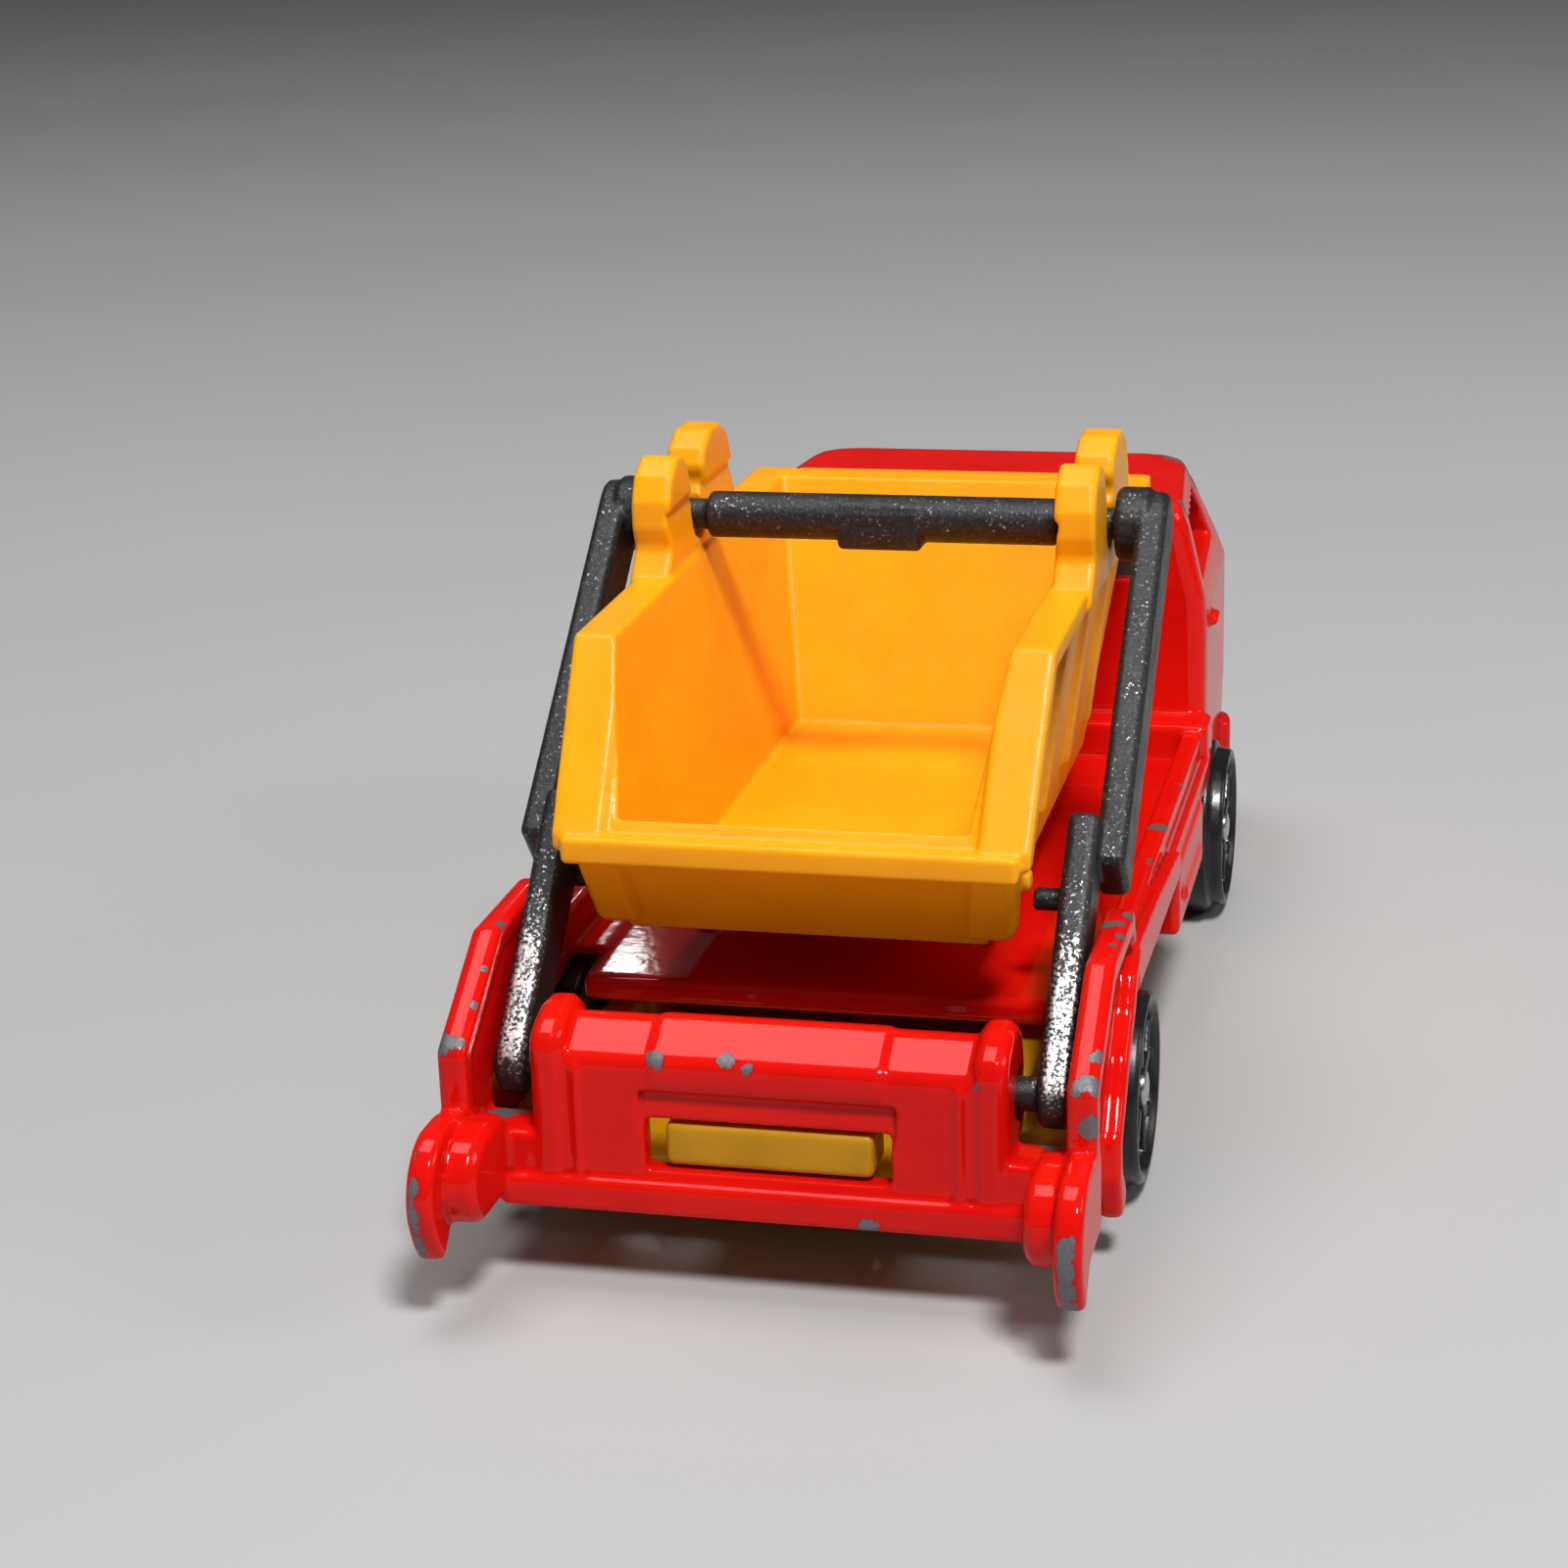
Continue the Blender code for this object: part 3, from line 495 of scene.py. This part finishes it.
def make_casting(look):
    """The red body."""
    obj = rounded_copy("body_casting", "body", 0.13, 5, 0.6)
    store(obj.data, "edge", edge_measure(obj.data, 2))
    store(obj.data, "chip", chip_field(obj.data, BODY_CHIPS))
    return finish_piece(obj, "chassis", "red_enamel", look, "body")


def make_base(look):
    """The mustard plastic base."""
    obj = rounded_copy("base_moulding", "base_plate", 0.13, 4, 0.4)
    store(obj.data, "edge", edge_measure(obj.data, 2))
    return finish_piece(obj, "chassis", "mustard_plastic", look, "base_plate")


def make_interior(look):
    """Seats, dashboard and steering wheel."""
    obj = rounded_copy("cab_seats", "cab_interior", 0.12, 4, 0.6)
    store(obj.data, "edge", edge_measure(obj.data, 2))
    return finish_piece(obj, "chassis", "cab_plastic", look, "cab_interior")


def make_skip(look):
    """The yellow skip."""
    obj = rounded_copy("skip_moulding", "skip", 0.11, 4, 0.5)
    store(obj.data, "edge", edge_measure(obj.data, 2))
    return finish_piece(obj, "skip", "yellow_plastic", look, "skip")


def make_lifting_frame(look):
    """The dark arms and crossbar, rubbed bright and given a painted highlight on faces turned up and
    back, most on the backs of the lower arms.
    """
    obj = rounded_copy("frame_casting", "lifting_frame", 0.1, 4, 0.5)
    mesh = obj.data
    store(mesh, "edge", edge_measure(mesh, 2))
    points, normals = points_of(mesh)
    across, _, height = points.T
    # painted highlight: faces turned up and back, toward the key lamp, get more of the bright mark
    facing = np.clip(-0.75 * normals[:, 1] + 0.66 * normals[:, 2], 0.0, 1.0) ** 2
    above_pin = np.clip((height + 2.4) / 1.2, 0.0, 1.0)
    below_step = np.clip((5.5 - height) / 4.0, 0.0, 1.0)
    on_arm = np.clip((np.abs(across) - 10.0) / 0.3, 0.0, 1.0)
    store(mesh, "wear_and_painted_highlight", 0.04 + facing * (0.06 + 0.46 * below_step * above_pin * on_arm))
    return finish_piece(obj, "frame", "gunmetal", look, "lifting_frame")


def wheel_mesh():
    """One wheel about its own axis, its outer face towards +X, from the axle's middle."""
    profile = [(10.6, 0.6), (10.6, 1.7), (11.5, 1.95), (11.5, 3.35), (10.75, 3.7), (10.72, 4.3),
               (10.9, WHEEL_R), (12.6, WHEEL_R), (12.72, 4.3), (12.78, 4.14), (13.28, 4.08),
               (13.46, 3.96), (13.46, 3.72), (13.2, 3.52), (12.62, 3.4), (12.5, 2.4), (12.6, 1.35),
               (12.8, 1.2), (12.95, 1.05), (12.95, 0.6)]
    bm = lathe(profile, 120)
    for number in range(SPOKES):
        turn = 90.0 + 360.0 / SPOKES * number
        spoke(bm, (0.95, turn), (2.3, turn), 0.28, 12.2, 13.2)
        for lean in (-1, 1):
            spoke(bm, (2.1, turn + lean * 2.5), (3.6, turn + lean * 17.0), 0.22, 12.2, 13.16)
    mesh = bpy.data.meshes.new("wheel_form")
    bm.to_mesh(mesh)
    bm.free()
    return mesh


def make_wheels(look):
    """Four wheels on their axes."""
    for end in ("front", "rear"):
        for side, turn in (("left", math.pi), ("right", 0.0)):
            axle = Vector(JOINTS[f"{end}_{side}_spin"]["pos_m"])
            name = f"wheel_{end}_{side}"
            obj = fused(f"{name}_tyre", wheel_mesh(), 0.075, 3, 0.5)
            store(obj.data, "edge", edge_measure(obj.data, 2))
            obj.data.transform(Matrix.Rotation(turn, 4, "Z"))
            obj.data.transform(Matrix.Translation((0.0, axle.y, axle.z)))
            finish_piece(obj, name, "black_plastic", look, name)


def make_axles(look):
    """Two steel axles with domed heads."""
    for end in ("front", "rear"):
        axle = Vector(JOINTS[f"{end}_right_spin"]["pos_m"])
        half = [(0.0, AXLE_R), (13.08, AXLE_R), (13.1, 0.74), (HEAD_START, HEAD_R)]
        turns = [math.radians(a) for a in range(15, 90, 15)]
        dome = [(HEAD_START + 0.2 * math.sin(a), HEAD_R * math.cos(a)) for a in turns]
        right = half + dome + [(HEAD_END, 0.02)]
        left = [(-x, radius) for x, radius in reversed(right[1:])]
        bm = lathe(left + right, 48)
        caps = [[v for v in bm.verts if abs(v.co.x - x) < 1e-4 and v.co.yz.length < 0.1]
                for x in (-HEAD_END, HEAD_END)]
        bridge = [f for f in bm.faces
                  if max(v.co.x for v in f.verts) - min(v.co.x for v in f.verts) > HEAD_END]
        bmesh.ops.delete(bm, geom=bridge, context="FACES")
        for ring in caps:
            ring.sort(key=lambda v: math.atan2(v.co.z, v.co.y))
            bm.faces.new(ring)
        bmesh.ops.recalc_face_normals(bm, faces=bm.faces)
        bmesh.ops.scale(bm, vec=(MM, MM, MM), verts=bm.verts)
        bmesh.ops.translate(bm, vec=(0.0, axle.y, axle.z), verts=bm.verts)
        mesh = bpy.data.meshes.new(f"{end}_axle_form")
        bm.to_mesh(mesh)
        bm.free()
        mesh.shade_smooth()
        mesh.set_sharp_from_angle(angle=math.radians(40.0))
        obj = bpy.data.objects.new(f"{end}_axle_pin", mesh)
        bpy.context.scene.collection.objects.link(obj)
        finish_piece(obj, "chassis", "steel", look, f"{end}_axle")


# ---------------------------------------------------------------- stage


def make_floor():
    """A plain pale floor that curves up far behind the truck."""
    obj = bpy.data.objects.new("studio_floor", bpy.data.meshes.new("studio_floor"))
    bm = bmesh.new()
    reach, rise = 1.6, 0.9
    line = [(-reach, 0.0), (reach, 0.0)]
    line += [(reach + rise * math.sin(math.radians(a)), rise * (1 - math.cos(math.radians(a))))
             for a in range(10, 91, 10)]
    rows = [[bm.verts.new((x, y, z)) for x in (-2.6, 2.6)] for y, z in line]
    for low, high in zip(rows, rows[1:]):
        bm.faces.new((low[0], low[1], high[1], high[0]))
    bm.to_mesh(obj.data)
    bm.free()
    obj.data.shade_smooth()
    m = Recipe("pale_floor", Roughness=0.85, Specular_IOR_Level=0.1)
    m.set("Base Color", m.mix(m.noise(40.0, 2.0), FLOOR, FLOOR_SHADE))
    obj.data.materials.append(m.material)
    bpy.context.scene.collection.objects.link(obj)


def make_lamp(name, place, aim, size, power):
    """A square softbox aimed at a point, all in metres."""
    lamp = bpy.data.lights.new(name, "AREA")
    lamp.size = size
    lamp.energy = power
    obj = bpy.data.objects.new(name, lamp)
    obj.location = place
    obj.rotation_euler = (Vector(aim) - Vector(place)).to_track_quat("-Z", "Y").to_euler()
    bpy.context.scene.collection.objects.link(obj)


def make_lights():
    """A key over the tail, wide top and side lights, a low far glint and a dim surround."""
    aim = (0.0, -0.005, 0.012)
    make_lamp("key", (0.12, -0.22, 0.40), aim, 0.09, 2.0)
    make_lamp("top", (-0.10, 0.02, 0.50), aim, 0.24, 0.9)
    make_lamp("side", (0.42, 0.02, 0.26), aim, 0.16, 0.35)
    make_lamp("rim", (-0.1725, 0.52, 0.229), aim, 0.010, 0.006)
    world = bpy.data.worlds.new("studio")
    world.use_nodes = True
    ground = world.node_tree.nodes["Background"]
    ground.inputs["Color"].default_value = (0.9, 0.93, 1.0, 1.0)
    ground.inputs["Strength"].default_value = 0.10
    bpy.context.scene.world = world


def make_camera():
    """The camera behind and above the truck's tail."""
    data = bpy.data.cameras.new("camera")
    data.lens = CAMERA_LENS
    data.clip_start = 0.005
    data.clip_end = 20.0
    camera = bpy.data.objects.new("camera", data)
    right = Vector(CAMERA_RIGHT).normalized()
    back = right.cross(Vector(CAMERA_UP)).normalized()
    up = back.cross(right)
    facing = Matrix((right, up, back)).transposed().to_4x4()
    camera.matrix_world = Matrix.Translation(CAMERA_PLACE) @ facing
    bpy.context.scene.collection.objects.link(camera)
    bpy.context.scene.camera = camera


def main():
    """Every piece, then the stage."""
    make_casting(red_enamel())
    make_base(moulded_plastic("mustard_plastic_look", MUSTARD, MUSTARD_DEEP, 0.36))
    make_interior(moulded_plastic("cab_plastic_look", CAB_GREY, CAB_GREY_DEEP, 0.4))
    make_skip(moulded_plastic("yellow_plastic_look", YELLOW, YELLOW_DEEP, 0.3, 0.2))
    make_lifting_frame(worn_metal_painted_highlight())
    make_wheels(wheel_black())
    make_axles(bright_steel())
    panes = frame["nodes"]["glazing"].data.materials
    panes.clear()
    panes.append(smoked_glazing())
    make_floor()
    make_lights()
    make_camera()
    bpy.context.scene.view_settings.view_transform = "Standard"


main()
